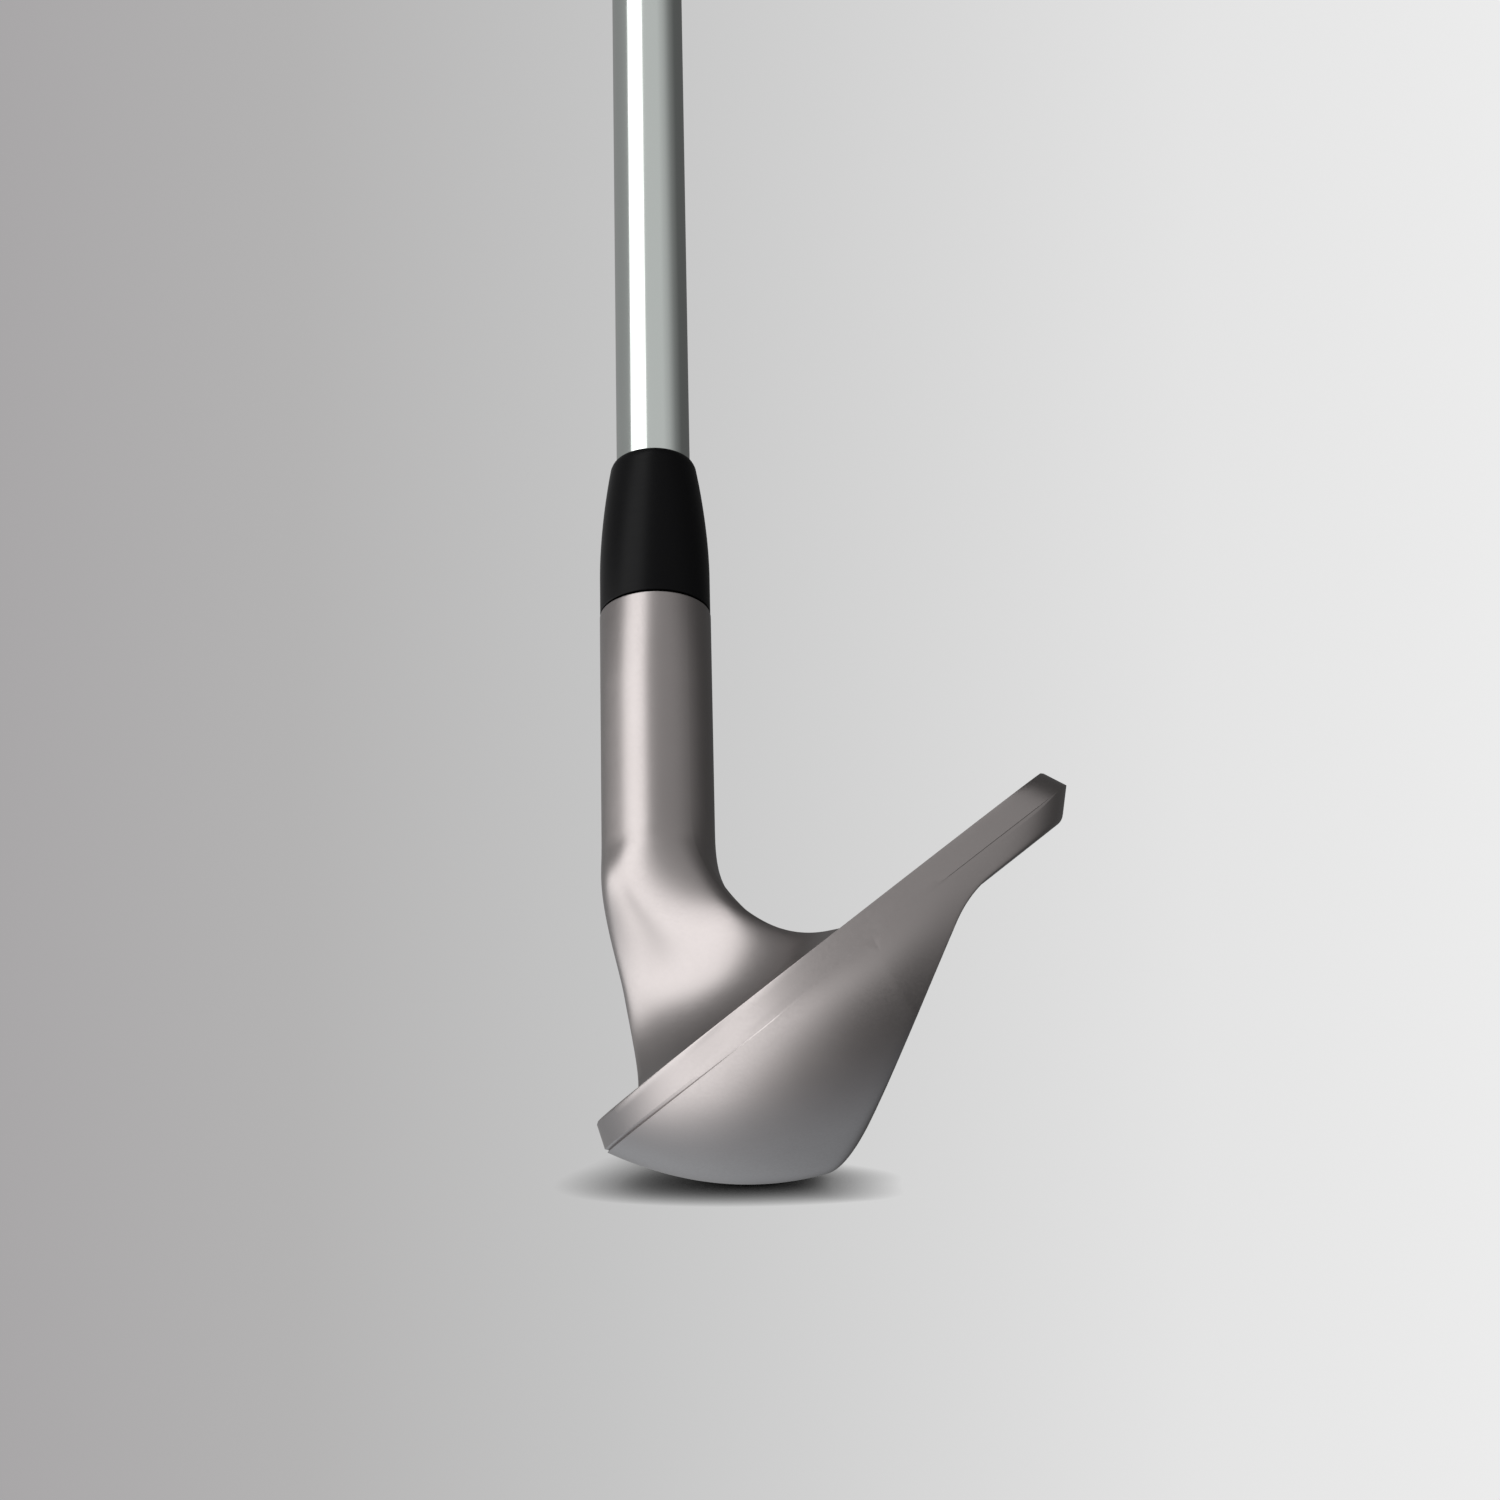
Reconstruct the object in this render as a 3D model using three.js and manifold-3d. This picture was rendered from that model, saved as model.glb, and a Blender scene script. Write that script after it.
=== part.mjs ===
// Left-handed sand iron: forged head, stepped steel shaft, ferrule, rubber grip and the pieces inside them.
// Millimetres, +Z up. The club stands as at address: the face looks to -X, the toe points to -Y,
// the shaft leans to +Y, and the hands are a little ahead of the head.
// The origin is where the upper hand holds it.
import * as THREE from 'three';
import { mergeVertices } from 'three/addons/utils/BufferGeometryUtils.js';
import Module from 'manifold-3d';

const wasm = await Module();
wasm.setup();

const { PI, cos, sin, sqrt, exp, min, max } = Math;
const radians = THREE.MathUtils.degToRad;

// ---- driving dimensions ----

const LOFT = radians(56);
const LIE = radians(64);
const LEAN = radians(4); // how far the hands are ahead of the head

// distances along the shaft axis, from where it meets the ground
const SHAFT_TIP_AT = 41;
const HOSEL_TOP_AT = 70.9;
const FERRULE_TOP_AT = 92;
const GRIP_MOUTH_AT = 636;
const HOLD_AT = 800;
const GRIP_END_AT = 897.5;
const CLUB_END_AT = 902;

const GAP = 0.2; // left between pieces that touch end to end
const BOND_GAP = 0.12; // left each side of the epoxy and of the grip tape

const HOSEL_R = 6.8;
const HOSEL_CHAMFER = 0.3;
const BORE_R = 4.95;
const BORE_BELOW_TIP = 3;
const SHAFT_TIP_R = 4.55;
const SHAFT_BUTT_R = 7.62;
const SHAFT_WALL_TIP = 0.6;
const SHAFT_WALL_BUTT = 0.4;
const STEP_COUNT = 13;
const STEP_PITCH = 29;
const FIRST_STEP_AT = 250;
const STEP_RAMP = 1.2;
const BUTT_TAPE_THICKNESS = 0.16;
const VENT_R = 1.25;

// Blade outline, looking at the face: s runs from the shaft axis towards the toe, v runs up the face.
const HEEL_S = 5;
const TOE_S = 66;
const TOE_V = 39; // height of the toe's outermost point
const TOE_CAP = 0.09; // the last ring stands this far inside the toe
const SOLE_FLAT_S = 26; // the leading edge starts to rise here
const LEADING_ROUND = 2.5;
const HEEL_RISE = 1.1;
const TOP_LINE_HEEL_V = 33;
const TOP_LINE_SLOPE = 0.68;
const TOP_LINE_EASE = 9;
const TOP_ROUND_S = 46;
const TOP_ROUND = 2.3;

// Blade section: v runs up the face, w runs straight back from it.
const FACE_FOOT = { x: -3.0, z: 6.88 }; // leading edge, from the shaft axis on the ground
const SOLE_START = [-1.0, 3.25];
const SOLE_BELLY = [6.3, 17.0];
const SOLE_END = [20.4, 21.0];
const BACK_LINE = { v: 23.9, w: 18.45, slope: -0.544 };
const THIN_BLADE = 5.2;
const RIM = 2.6; // square edge round the toe and along the top line
const RIM_RISE = 1.1; // how much higher the rim's back corner is than its front corner
const FLARE_HEIGHT = 30; // where the blade is lower than this, its rim and leading edge slant less
const BACK_FILLET = 1.6;
const TRAILING_ROUND = 1.4;
const BEVEL_ROUND = 0.5;
const HEEL_SOLE_SHARE = 0.72; // the sole is narrower at the heel by this share

// The heel turns round this line, which lies above the crotch and runs along X.
const TURN = { y: -HEEL_S, z: 46 };
const BLEND_ABOVE_TURN = 5.6;
const BLEND_PAST_HEEL = 20.7;
// Where the round hosel starts to change and where the blade is reached, as shares of the turn.
const TOP_BLEND = [-0.16, 1.48];
const SOLE_BLEND = [0.05, 1.1];
const FACE_DELAY = { most: 0.125, from: 0.145, to: 0.9 }; // the middle of the face changes later and faster
const LEADING_ANGLE = radians(218.4); // where the leading edge runs out on the hosel
const FACE_SPAN = radians(170); // the part of the hosel that the face runs out on
const CROTCH_SAG = { most: 1.5, from: 0.08, to: 1.15 };
const HEEL_BULGE = { most: 0.79, height: 0.13, width: 0.2, from: -0.05, to: 0.95 };

// The toe is drawn back behind the face, and the sole grows wider towards it.
const TOE_RELIEF = { most: 9, depth: 14 };
const BACK_TAPER = { rate: 0.07, none: 58 };

const FACE_STEPS = 12;
const RIM_STEPS = 2;
const BACK_STEPS = 30;
const BLADE_RINGS = 30;
const BLEND_RINGS = 6;
const TURN_RINGS = 16;
const NECK_RINGS = 4;

const SCORE_LINES = { first: 5.5, pitch: 3.6, count: 14, width: 0.9, depth: 0.4, heel: 20, toe: 53 };
const SCORE_MARGIN = { low: 3, high: 4.5 }; // kept clear of the leading edge and of the top line

const ROUND_SEGMENTS = 36;

// ---- materials ----

function material(color, roughness, metalness) {
  return new THREE.MeshStandardMaterial({ color, roughness, metalness });
}

const SATIN_STEEL = material('#7d7776', 0.36, 1);
const CHROME = material('#c4c8c6', 0.1, 1);
const BLACK_PLASTIC = material('#101011', 0.32, 0);
const CURED_EPOXY = material('#cbbd8f', 0.5, 0);
const BRASS = material('#b28f4c', 0.35, 1);
const DULL_FOIL = material('#8d9091', 0.45, 1);
const GRIP_RUBBER = material('#1c1c1d', 0.85, 0);
const CAP_RUBBER = material('#141415', 0.7, 0);
const PAPER_TAPE = material('#d9cfb2', 0.9, 0);

// ---- solids ----

// Welds the corners and turns the faces outwards.
function closed(geometry) {
  geometry.deleteAttribute('normal');
  geometry.deleteAttribute('uv');
  const welded = mergeVertices(geometry, 1e-3);
  const place = welded.getAttribute('position');
  const index = Array.from(welded.index.array);
  const [a, b, c] = [0, 1, 2].map(() => new THREE.Vector3());
  const kept = [];
  let volume = 0;
  for (let i = 0; i < index.length; i += 3) {
    const [p, q, r] = index.slice(i, i + 3);
    if (p === q || q === r || r === p) continue;
    a.fromBufferAttribute(place, p);
    b.fromBufferAttribute(place, q);
    c.fromBufferAttribute(place, r);
    volume += a.dot(b.cross(c));
    kept.push([p, q, r]);
  }
  welded.setIndex(kept.flatMap(([p, q, r]) => (volume > 0 ? [p, q, r] : [p, r, q])));
  return welded;
}

function toManifold(geometry) {
  const solid = closed(geometry);
  return new wasm.Manifold(new wasm.Mesh({
    numProp: 3,
    vertProperties: new Float32Array(solid.getAttribute('position').array),
    triVerts: new Uint32Array(solid.index.array),
  }));
}

function toGeometry(manifold) {
  const mesh = manifold.getMesh();
  const geometry = new THREE.BufferGeometry();
  geometry.setAttribute('position', new THREE.BufferAttribute(mesh.vertProperties, 3));
  geometry.setIndex(Array.from(mesh.triVerts));
  return closed(geometry);
}

function piece(name, geometry, finish) {
  const mesh = new THREE.Mesh(geometry, finish);
  mesh.name = name;
  return mesh;
}

// A profile of [radius, distance along the axis] spun round Z. It ends on the axis or closes on itself.
function spun(profile, segments = ROUND_SEGMENTS) {
  const points = profile.map(([r, t]) => new THREE.Vector2(r, t));
  return new THREE.LatheGeometry(points, segments).rotateX(PI / 2);
}

function sleeve(innerR, outerR, from, to) {
  return spun([[innerR, from], [outerR, from], [outerR, to], [innerR, to], [innerR, from]]);
}

// ---- head ----

function ease(x) {
  const t = min(max(x, 0), 1);
  return t ** 3 * (t * (6 * t - 15) + 10);
}

function softMin(a, b, k) {
  const h = min(max(0.5 + 0.5 * (b - a) / k, 0), 1);
  return b * (1 - h) + a * h - k * h * (1 - h);
}

const softMax = (a, b, k) => -softMin(-a, -b, k);

// The leading edge and the lower half of the toe.
function lowerEdge(s) {
  const x = min(max((s - SOLE_FLAT_S) / (TOE_S - SOLE_FLAT_S), 0), 1);
  const toe = TOE_V * (1 - (1 - x ** LEADING_ROUND) ** (1 / LEADING_ROUND));
  const y = min(max((SOLE_FLAT_S - s) / (SOLE_FLAT_S - HEEL_S), 0), 1);
  return toe + HEEL_RISE * y * y * (3 - 2 * y);
}

// The top line and the upper half of the toe.
function upperEdge(s) {
  const d = s - HEEL_S;
  const run = d < TOP_LINE_EASE ? d * d / (2 * TOP_LINE_EASE) : d - TOP_LINE_EASE / 2;
  const line = TOP_LINE_HEEL_V + TOP_LINE_SLOPE * run;
  if (s <= TOP_ROUND_S) return line;
  const x = min((s - TOP_ROUND_S) / (TOE_S - TOP_ROUND_S), 1);
  return TOE_V + (line - TOE_V) * (1 - x ** TOP_ROUND) ** (1 / TOP_ROUND);
}

// Depth of the sole at v: one quadratic curve from the leading edge to the trailing edge.
function soleDepth(v) {
  const a = SOLE_START[0] - 2 * SOLE_BELLY[0] + SOLE_END[0];
  const b = 2 * (SOLE_BELLY[0] - SOLE_START[0]);
  const c = SOLE_START[0] - v;
  const t = min(max((-b + sqrt(max(b * b - 4 * a * c, 0))) / (2 * a), 0), 1.6);
  return (1 - t) ** 2 * SOLE_START[1] + 2 * t * (1 - t) * SOLE_BELLY[1] + t * t * SOLE_END[1];
}

// How deep the head is behind the face, between the rim's back corner at crest and the sole's start at foot.
function depth(s, v, heel, crest, foot, footDepth) {
  const taper = BACK_TAPER.rate * (min(max(s, SOLE_FLAT_S), TOE_S) - BACK_TAPER.none);
  const back = softMax(BACK_LINE.w + taper + BACK_LINE.slope * (v - BACK_LINE.v), THIN_BLADE, BACK_FILLET);
  const sole = soleDepth(v - foot + SOLE_START[0]) - SOLE_START[1] + footDepth;
  const body = softMin(sole, back, TRAILING_ROUND);
  const bevelled = softMin(body, RIM + crest - v, BEVEL_ROUND);
  return SOLE_START[1] + (bevelled - SOLE_START[1]) * (1 - heel * (1 - HEEL_SOLE_SHARE));
}

// One closed section of the blade as [v, w] points: up the face, over the top rim, down the back
// and round the leading edge.
function section(s) {
  const bottom = lowerEdge(s);
  const top = upperEdge(s);
  const heel = ease((SOLE_FLAT_S - s) / (SOLE_FLAT_S - HEEL_S));
  const open = sin(PI / 2 * min((top - bottom) / FLARE_HEIGHT, 1)); // the edges' slants close at the toe
  const foot = bottom + SOLE_START[0] * open;
  const footDepth = SOLE_START[1] * open + RIM * (1 - open);
  const crest = top + RIM_RISE * open * (1 - heel);
  const points = [];
  for (let i = 0; i < FACE_STEPS; i++) points.push([bottom + (top - bottom) * i / FACE_STEPS, 0]);
  for (let i = 0; i < RIM_STEPS; i++) {
    const share = i / RIM_STEPS;
    points.push([top + (crest - top) * share, RIM * share]);
  }
  for (let i = 0; i < BACK_STEPS; i++) {
    const v = crest + (foot - crest) * (0.5 - 0.5 * cos(PI * i / BACK_STEPS));
    points.push([v, depth(s, v, heel, crest, foot, footDepth)]);
  }
  for (let i = 0; i < RIM_STEPS; i++) {
    const share = i / RIM_STEPS;
    points.push([foot + (bottom - foot) * share, footDepth * (1 - share)]);
  }
  return points;
}

// A section point in the plane that the head's rings stand in.
function onFace([v, w]) {
  return {
    x: FACE_FOOT.x + v * sin(LOFT) + w * cos(LOFT),
    z: FACE_FOOT.z + v * cos(LOFT) - w * sin(LOFT),
  };
}

// Where each section point runs out on the round hosel. The face takes its own span and the rest shares
// what is left.
function hoselAngles(points) {
  const lengths = points.map((p, i) => {
    const q = points[(i + 1) % points.length];
    return Math.hypot(p.x - q.x, p.z - q.z);
  });
  const total = (part) => part.reduce((sum, length) => sum + length, 0);
  const facePerLength = FACE_SPAN / total(lengths.slice(0, FACE_STEPS));
  const restPerLength = (2 * PI - FACE_SPAN) / total(lengths.slice(FACE_STEPS));
  let angle = LEADING_ANGLE;
  return lengths.map((length, i) => {
    const here = angle;
    angle -= length * (i < FACE_STEPS ? facePerLength : restPerLength);
    return here;
  });
}

// Where the rings between the blade and the hosel stand: past the turn on the blade's side, at an angle
// in it, or above it on the hosel's side.
function neckStations() {
  const stations = [];
  for (let i = 0; i <= BLEND_RINGS; i++) {
    stations.push({ angle: 0, past: BLEND_PAST_HEEL * (1 - i / BLEND_RINGS), above: 0 });
  }
  for (let i = 1; i <= TURN_RINGS; i++) {
    stations.push({ angle: LIE * i / TURN_RINGS, past: 0, above: 0 });
  }
  for (let i = 1; i <= NECK_RINGS; i++) {
    stations.push({ angle: LIE, past: 0, above: BLEND_ABOVE_TURN * i / NECK_RINGS });
  }
  return stations;
}

// Rises and falls smoothly between two shares of the turn.
function bell(q, from, to) {
  return sin(PI * min(max((q - from) / (to - from), 0), 1)) ** 2;
}

// q runs from 0 on the hosel to 1 on the blade. Beyond the turn it goes on at the speed it has in the turn.
function neckRing({ angle, past, above }, angles, heights) {
  const axisDistance = TURN.z * cos(LIE) - TURN.y * sin(LIE);
  return section(HEEL_S + past).map((point, i) => {
    const blade = onFace(point);
    const bladeR = TURN.z - blade.z;
    const round = { x: HOSEL_R * cos(angles[i]), r: axisDistance - HOSEL_R * sin(angles[i]) };
    const q = 1 - angle / LIE + past / (bladeR * LIE) - above / (round.r * LIE);
    const height = heights[i];
    const start = SOLE_BLEND[0] + (TOP_BLEND[0] - SOLE_BLEND[0]) * height;
    const end = SOLE_BLEND[1] + (TOP_BLEND[1] - SOLE_BLEND[1]) * height;
    const delay = i < FACE_STEPS ? FACE_DELAY.most * bell(height, FACE_DELAY.from, FACE_DELAY.to) : 0;
    const share = ease((q - start - delay) / (end - start - 2 * delay));
    const sag = CROTCH_SAG.most * height * height * bell(q, CROTCH_SAG.from, CROTCH_SAG.to);
    const low = exp(-(((height - HEEL_BULGE.height) / HEEL_BULGE.width) ** 2));
    const bulge = HEEL_BULGE.most * low * bell(q, HEEL_BULGE.from, HEEL_BULGE.to);
    const x = round.x * (1 - share) + blade.x * share - bulge;
    const r = round.r * (1 - share) + bladeR * share + sag;
    return new THREE.Vector3(
      x,
      TURN.y - past + r * sin(angle) + above * cos(LIE),
      TURN.z - r * cos(angle) + above * sin(LIE),
    );
  });
}

// How far the toe is drawn back at depth w.
function toeRelief(s, w) {
  const deep = max(w - RIM, 0) / TOE_RELIEF.depth;
  return TOE_RELIEF.most * deep * deep * ease((s - SOLE_FLAT_S) / (TOE_S - SOLE_FLAT_S));
}

// A plain ring round the shaft axis.
function hoselRing(angles, radius, at) {
  return angles.map((angle) => {
    const x = radius * cos(angle);
    const across = -radius * sin(angle);
    return new THREE.Vector3(x, across * sin(LIE) + at * cos(LIE), -across * cos(LIE) + at * sin(LIE));
  });
}

function headRings() {
  const rings = [];
  const first = TOE_S - TOE_CAP;
  const last = HEEL_S + BLEND_PAST_HEEL;
  for (let i = 0; i < BLADE_RINGS; i++) {
    const s = first - (first - last) * (1 - cos(PI / 2 * i / BLADE_RINGS));
    rings.push(section(s).map((point) => {
      const { x, z } = onFace(point);
      return new THREE.Vector3(x, toeRelief(s, point[1]) - s, z);
    }));
  }
  const heelSection = section(HEEL_S);
  const angles = hoselAngles(heelSection.map(onFace));
  const tallest = max(...heelSection.map(([v]) => v));
  const heights = heelSection.map(([v]) => min(max(v / tallest, 0), 1));
  for (const station of neckStations()) rings.push(neckRing(station, angles, heights));
  rings.push(hoselRing(angles, HOSEL_R, HOSEL_TOP_AT - HOSEL_CHAMFER));
  rings.push(hoselRing(angles, HOSEL_R - HOSEL_CHAMFER, HOSEL_TOP_AT));
  return rings;
}

// A skin over the rings, with a fan over each end.
function loft(rings) {
  const count = rings[0].length;
  const middle = (ring) => ring.reduce((sum, p) => sum.add(p), new THREE.Vector3()).divideScalar(count);
  const corners = [...rings.flat(), middle(rings[0]), middle(rings[rings.length - 1])];
  const index = [];
  for (let r = 0; r + 1 < rings.length; r++) {
    for (let i = 0; i < count; i++) {
      const j = (i + 1) % count;
      const [a, b, c, d] = [r * count + i, r * count + j, (r + 1) * count + j, (r + 1) * count + i];
      index.push(a, b, c, a, c, d);
    }
  }
  const lastRing = (rings.length - 1) * count;
  for (let i = 0; i < count; i++) {
    const j = (i + 1) % count;
    index.push(corners.length - 2, j, i);
    index.push(corners.length - 1, lastRing + i, lastRing + j);
  }
  const geometry = new THREE.BufferGeometry().setFromPoints(corners);
  geometry.setIndex(index);
  return geometry;
}

// The stretch of a score line at height v that lies well inside the face.
function scoreLineSpan(v) {
  const inside = [];
  for (let s = SCORE_LINES.heel; s <= SCORE_LINES.toe; s += 0.5) {
    if (lowerEdge(s) + SCORE_MARGIN.low < v && v < upperEdge(s) - SCORE_MARGIN.high) inside.push(s);
  }
  return [inside[0], inside[inside.length - 1]];
}

function scoreLine(v) {
  const [from, to] = scoreLineSpan(v);
  const cutter = new THREE.BoxGeometry(2 * SCORE_LINES.depth, to - from, SCORE_LINES.width);
  const { x, z } = onFace([v, 0]);
  return cutter.rotateY(LOFT).translate(x, -(from + to) / 2, z);
}

function alongShaft(geometry) {
  return geometry.rotateX(LIE - PI / 2);
}

function makeHead() {
  const floor = SHAFT_TIP_AT - BORE_BELOW_TIP;
  const mouth = HOSEL_TOP_AT + 1;
  const bore = alongShaft(spun([[0, floor], [BORE_R, floor], [BORE_R, mouth], [0, mouth]]));
  let head = toManifold(loft(headRings())).subtract(toManifold(bore));
  for (let i = 0; i < SCORE_LINES.count; i++) {
    head = head.subtract(toManifold(scoreLine(SCORE_LINES.first + i * SCORE_LINES.pitch)));
  }
  return piece('head', toGeometry(head), SATIN_STEEL);
}

// ---- shaft and what is fixed to it ----

function shaftRadius(step) {
  return SHAFT_TIP_R + (SHAFT_BUTT_R - SHAFT_TIP_R) * step / STEP_COUNT;
}

function makeShaft() {
  const outside = [[SHAFT_TIP_R, SHAFT_TIP_AT]];
  const inside = [[SHAFT_TIP_R - SHAFT_WALL_TIP, SHAFT_TIP_AT]];
  for (let step = 1; step <= STEP_COUNT; step++) {
    const at = FIRST_STEP_AT + (step - 1) * STEP_PITCH;
    const wallBefore = SHAFT_WALL_TIP + (SHAFT_WALL_BUTT - SHAFT_WALL_TIP) * (step - 1) / STEP_COUNT;
    const wallAfter = SHAFT_WALL_TIP + (SHAFT_WALL_BUTT - SHAFT_WALL_TIP) * step / STEP_COUNT;
    outside.push([shaftRadius(step - 1), at], [shaftRadius(step), at + STEP_RAMP]);
    inside.push([shaftRadius(step - 1) - wallBefore, at], [shaftRadius(step) - wallAfter, at + STEP_RAMP]);
  }
  outside.push([SHAFT_BUTT_R, GRIP_END_AT]);
  inside.push([SHAFT_BUTT_R - SHAFT_WALL_BUTT, GRIP_END_AT]);
  const profile = [...outside, ...inside.reverse(), outside[0]];
  return piece('shaft', spun(profile), CHROME);
}

function makeEpoxy() {
  const bond = sleeve(SHAFT_TIP_R + BOND_GAP, BORE_R - BOND_GAP, SHAFT_TIP_AT, HOSEL_TOP_AT - GAP);
  return piece('hosel_epoxy', bond, CURED_EPOXY);
}

// A brass pin pushed into the shaft's tip, with a head that the tip rests on.
function makeTipWeight() {
  const stemR = SHAFT_TIP_R - SHAFT_WALL_TIP - 0.15;
  const headR = SHAFT_TIP_R - 0.1;
  const shoulder = SHAFT_TIP_AT - GAP;
  const profile = [
    [0, shoulder - 2.2],
    [headR - 0.4, shoulder - 2.2],
    [headR, shoulder - 1.8],
    [headR, shoulder],
    [stemR, shoulder],
    [stemR, shoulder + 17],
    [stemR - 0.7, shoulder + 18],
    [0, shoulder + 18],
  ];
  return piece('tip_weight', spun(profile), BRASS);
}

function makeFerrule() {
  const innerR = SHAFT_TIP_R + GAP;
  const from = HOSEL_TOP_AT + GAP;
  const topR = 5.3;
  const footR = HOSEL_R - 0.05;
  const straight = 5;
  const swell = new THREE.CubicBezierCurve(
    new THREE.Vector2(footR, from + straight),
    new THREE.Vector2(footR, from + straight + 5.5),
    new THREE.Vector2(topR + 0.62, FERRULE_TOP_AT - 4.2),
    new THREE.Vector2(topR, FERRULE_TOP_AT - 0.8),
  );
  const profile = [
    [innerR, from],
    [footR, from],
    ...swell.getPoints(10).map((p) => [p.x, p.y]),
    [topR - 0.25, FERRULE_TOP_AT - 0.2],
    [innerR, FERRULE_TOP_AT],
    [innerR, from],
  ];
  return piece('ferrule', spun(profile, 48), BLACK_PLASTIC);
}

// A plain foil sleeve on the parallel stretch between two steps.
function makeShaftBand() {
  const step = 6;
  const from = FIRST_STEP_AT + (step - 1) * STEP_PITCH + STEP_RAMP + 2;
  const to = from + STEP_PITCH - STEP_RAMP - 4;
  const band = sleeve(shaftRadius(step) + 0.05, shaftRadius(step) + 0.17, from, to);
  return piece('shaft_band', band, DULL_FOIL);
}

const TAPE_INNER_R = SHAFT_BUTT_R + BOND_GAP;
const TAPE_OUTER_R = TAPE_INNER_R + BUTT_TAPE_THICKNESS;

function makeGripTape() {
  const tape = sleeve(TAPE_INNER_R, TAPE_OUTER_R, GRIP_MOUTH_AT + 3, GRIP_END_AT - 2);
  return piece('grip_tape', tape, PAPER_TAPE);
}

function makeGrip() {
  const innerR = TAPE_OUTER_R + BOND_GAP;
  const profile = [
    [innerR, GRIP_MOUTH_AT],
    [8.35, GRIP_MOUTH_AT],
    [8.7, GRIP_MOUTH_AT + 1.2],
    [9.6, GRIP_MOUTH_AT + 70],
    [10.8, GRIP_MOUTH_AT + 160],
    [12.2, GRIP_MOUTH_AT + 230],
    [13.2, GRIP_END_AT],
    [innerR, GRIP_END_AT],
    [innerR, GRIP_MOUTH_AT],
  ];
  return piece('grip', spun(profile), GRIP_RUBBER);
}

function makeGripCap() {
  const from = GRIP_END_AT + GAP;
  const profile = [
    [VENT_R, from],
    [13.3, from],
    [13.9, from + 0.8],
    [13.8, from + 2.2],
    [12.8, CLUB_END_AT - 0.5],
    [11, CLUB_END_AT],
    [VENT_R, CLUB_END_AT],
    [VENT_R, from],
  ];
  return piece('grip_cap', spun(profile), CAP_RUBBER);
}

// ---- assembly ----

const onAxis = new THREE.Group();
onAxis.rotation.x = LIE - PI / 2;
const turnedPieces = [
  makeShaft(),
  makeEpoxy(),
  makeTipWeight(),
  makeFerrule(),
  makeShaftBand(),
  makeGripTape(),
  makeGrip(),
  makeGripCap(),
];
for (const mesh of turnedPieces) {
  mesh.geometry = closed(mesh.geometry);
  onAxis.add(mesh);
}

const atAddress = new THREE.Group();
atAddress.rotation.y = -LEAN;
atAddress.add(makeHead(), onAxis);

const hold = new THREE.Vector3(0, HOLD_AT * cos(LIE), HOLD_AT * sin(LIE)).applyEuler(atAddress.rotation);
atAddress.position.copy(hold).negate();

const club = new THREE.Group();
club.add(atAddress);

export default club;
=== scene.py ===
"""A left-handed sand iron standing as at address on a pale studio floor.

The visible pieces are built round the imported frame. Lengths are millimetres, except for the frame's,
those in the size settings, and those whose comment says metres. A piece that is turned about the shaft
has its own Z along the shaft, and the head has its own Z upright from the floor.
"""

from math import cos, pi, radians, sin, tau

import bmesh
import bpy
import numpy as np
from mathutils import Matrix, Vector


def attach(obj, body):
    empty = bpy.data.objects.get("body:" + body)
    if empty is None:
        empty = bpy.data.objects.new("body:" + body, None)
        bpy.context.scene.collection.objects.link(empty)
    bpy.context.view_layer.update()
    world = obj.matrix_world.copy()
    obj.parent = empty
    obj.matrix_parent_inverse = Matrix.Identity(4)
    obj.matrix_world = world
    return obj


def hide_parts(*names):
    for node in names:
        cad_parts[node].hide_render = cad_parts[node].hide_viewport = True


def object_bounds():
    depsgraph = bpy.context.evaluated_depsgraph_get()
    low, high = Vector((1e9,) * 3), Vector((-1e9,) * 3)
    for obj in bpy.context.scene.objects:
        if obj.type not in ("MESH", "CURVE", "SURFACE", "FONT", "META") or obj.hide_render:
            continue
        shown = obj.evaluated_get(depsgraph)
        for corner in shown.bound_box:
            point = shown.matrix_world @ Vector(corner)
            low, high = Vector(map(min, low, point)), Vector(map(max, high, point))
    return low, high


bl_info = {
    "name": "Sand iron",
    "version": (1, 0, 0),
    "blender": (4, 5, 0),
    "location": "View3D > Sidebar > Sand iron",
    "description": "Builds the head, shaft, ferrule and grip of a sand iron, and a studio round it",
    "category": "Add Mesh",
}

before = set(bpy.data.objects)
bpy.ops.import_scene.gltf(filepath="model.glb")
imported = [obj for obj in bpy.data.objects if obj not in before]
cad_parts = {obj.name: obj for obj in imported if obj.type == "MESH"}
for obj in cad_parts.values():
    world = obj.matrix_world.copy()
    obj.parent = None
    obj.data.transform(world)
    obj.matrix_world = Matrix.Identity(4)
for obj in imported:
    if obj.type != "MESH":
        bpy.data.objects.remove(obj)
cad_box = [list(corner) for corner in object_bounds()]

MM = 0.001
LOFT = radians(56)
LIE = radians(64)
LEAN = radians(4)

# Distances along the shaft from where its axis meets the floor.
SHAFT_TIP_AT = 41
HOSEL_TOP_AT = 70.9
FERRULE_TOP_AT = 92
GRIP_MOUTH_AT = 636
HOLD_AT = 800
GRIP_END_AT = 897.5
CLUB_END_AT = 902

GAP = 0.2  # left inside and under the ferrule, and under the cap

HOSEL_R = 6.8
BORE_R = 4.95
BORE_FLOOR_AT = SHAFT_TIP_AT - 3
SHAFT_TIP_R = 4.55
SHAFT_BUTT_R = 7.62
SHAFT_WALL_TIP = 0.6
SHAFT_WALL_BUTT = 0.4
STEP_COUNT = 13
STEP_PITCH = 29
FIRST_STEP_AT = 250
STEP_RAMP = 1.2
VENT_R = 1.25

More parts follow.
